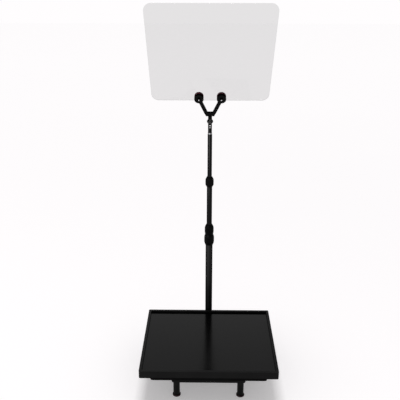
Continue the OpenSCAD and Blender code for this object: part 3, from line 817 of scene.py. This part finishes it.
def build_knobs(grip, ring):
    """Thumb nuts behind the glass: a knurled grip and a dark-red ring, both with rounded rims."""
    for name in ("left", "right"):
        joint = JOINTS[f"knob_{name}_turn"]
        low, high = local_range(f"knob_{name}")
        ring_low, ring_high = local_range(f"knob_ring_{name}")
        centre = HEAD.inverted() @ Vector(joint["pos_m"])
        r = max(high.x - low.x, ring_high.x - ring_low.x) / 2
        core = r - 2 * MM
        bore = 2.1 * MM
        start, seam, end = ring_low.y, ring_high.y, high.y
        place = HEAD @ Matrix.Translation((centre.x, 0, centre.z)) @ Matrix.Rotation(-math.pi / 2, 4, "X")
        outline = [
            (bore, start, 0),
            (core, start, 0),
            (core, seam + 0.15 * MM, 0),
            (r - 0.3 * MM, seam + 0.15 * MM, 0.3 * MM),
            (r, seam + 0.8 * MM, 0.4 * MM),
            (r, end - 1.6 * MM, 1.0 * MM),
            (r - 1.8 * MM, end, 1.2 * MM),
            (r - 5.5 * MM, end, 0.8 * MM),
            (r - 6.3 * MM, end - 0.7 * MM, 0.5 * MM),
            (0, end - 0.7 * MM, 0),
            (0, end - 2.4 * MM, 0),
            (bore, end - 2.4 * MM, 0),
        ]

        def knurl(radius, y, angle, r=r):
            if radius < r - 1.2 * MM:
                return radius
            return radius - 0.7 * MM * (0.5 + 0.5 * math.cos(24 * angle)) ** 2

        body = f"knob_{name}"
        obj = lathe(f"knob_{name}_detail", fillet(outline), 24 * 10, knurl, place)
        piece(obj, body, grip, "knob_plastic", f"knob_{name}")
        band = [
            (core + 0.02 * MM, start, 0),
            (r - 0.2 * MM, start, 1.0 * MM),
            (r, start + 1.4 * MM, 1.0 * MM),
            (r, seam - 0.5 * MM, 0.4 * MM),
            (r - 0.4 * MM, seam, 0.2 * MM),
            (core + 0.02 * MM, seam, 0),
        ]
        obj = lathe(f"knob_ring_{name}_detail", fillet(band), 128, None, place)
        piece(obj, body, ring, "red_anodised", f"knob_ring_{name}")


def paint_head(mats):
    refine("yoke", mats["head"], 0.8, 3)
    refine("adapter", mats["head"], 0.4)
    refine("adapter_screws", mats["bright"], 0.2)
    refine("pivot_bolt", mats["black_steel"], 0.25)
    refine("glass_pads", mats["pad"], 0.25)
    refine("clamp_studs", mats["bright"], 0.4, 3)


# ---------------------------------------------------------------- the whole

make_camera()
make_world()
make_lights(make_floor())

materials = {
    "powder": powder_coat(),
    "satin": satin_paint(),
    # The frame's edge colour 0.050 is a painted highlight: bright lines along the bezel's rims and edges.
    "frame": grained_plastic("frame_plastic", 1100, 0.00006, 1.17, 0.0026, 0.0046, 0.050),
    # The housing's colours are darker than the frame's as painted shade, for the strip in the shade below
    # the bezel.
    "housing": grained_plastic("housing_plastic", 700, 0.0001, 1.10, 0.0012, 0.0024, 0.006),
    "screen": screen_panel(),
    "tray": metal("panel_tray", (0.60, 0.61, 0.63), 0.32),
    "zinc": metal("zinc_steel", (0.42, 0.43, 0.44), 0.36, wear=0.00003),
    "black_steel": metal("black_steel", (0.045, 0.045, 0.048), 0.38, wear=0.00002),
    "board": circuit_board(),
    "port_black": moulded("port_black", (0.012, 0.012, 0.013), 0.4),
    "port_metal": metal("port_metal", (0.62, 0.63, 0.64), 0.22),
    "port_blue": moulded("port_blue", (0.02, 0.07, 0.34), 0.42),
    "button": moulded("button_plastic", (0.02, 0.02, 0.021), 0.36),
    "tube": anodised("tube_anodised", 0.010, 0.12, 0.17),
    "outer_tube": anodised("outer_tube_anodised", 0.021, 0.12, 0.42),
    "ferrule": metal("ferrule", (0.66, 0.67, 0.68), 0.28, turned=0.00002),
    "nylon": moulded("nylon", (0.74, 0.72, 0.66), 0.5),
    "collar": grained_plastic("collar_plastic", 1300, 0.00007, 1.12, 0.0018, 0.0034, 0.009),
    "bright": metal("bright_steel", (0.70, 0.70, 0.71), 0.20, turned=0.00001),
    "plug": metal("plug_steel", (0.25, 0.25, 0.255), 0.24, turned=0.00001),
    "head": anodised("head_alloy", 0.0080, 0.20, 0.24, lines=False),
    "pad": rubber("pad_rubber", (0.004, 0.004, 0.0042)),
    "knob": grained_plastic("knob_plastic", 1300, 0.00006, 1.25, 0.0018, 0.0034, 0.009),
}

paint_base(materials)
paint_monitor(materials)
paint_pole(materials)
paint_head(materials)
build_feet(foot_rubber())
build_tubes(materials["outer_tube"], materials["tube"])
build_collars(materials["collar"])
build_socket_knob(materials["knob"])
build_glass(beam_splitter_face(), clear_face(), polished_edge())
build_knobs(materials["knob"], red_anodised())

bpy.context.view_layer.update()
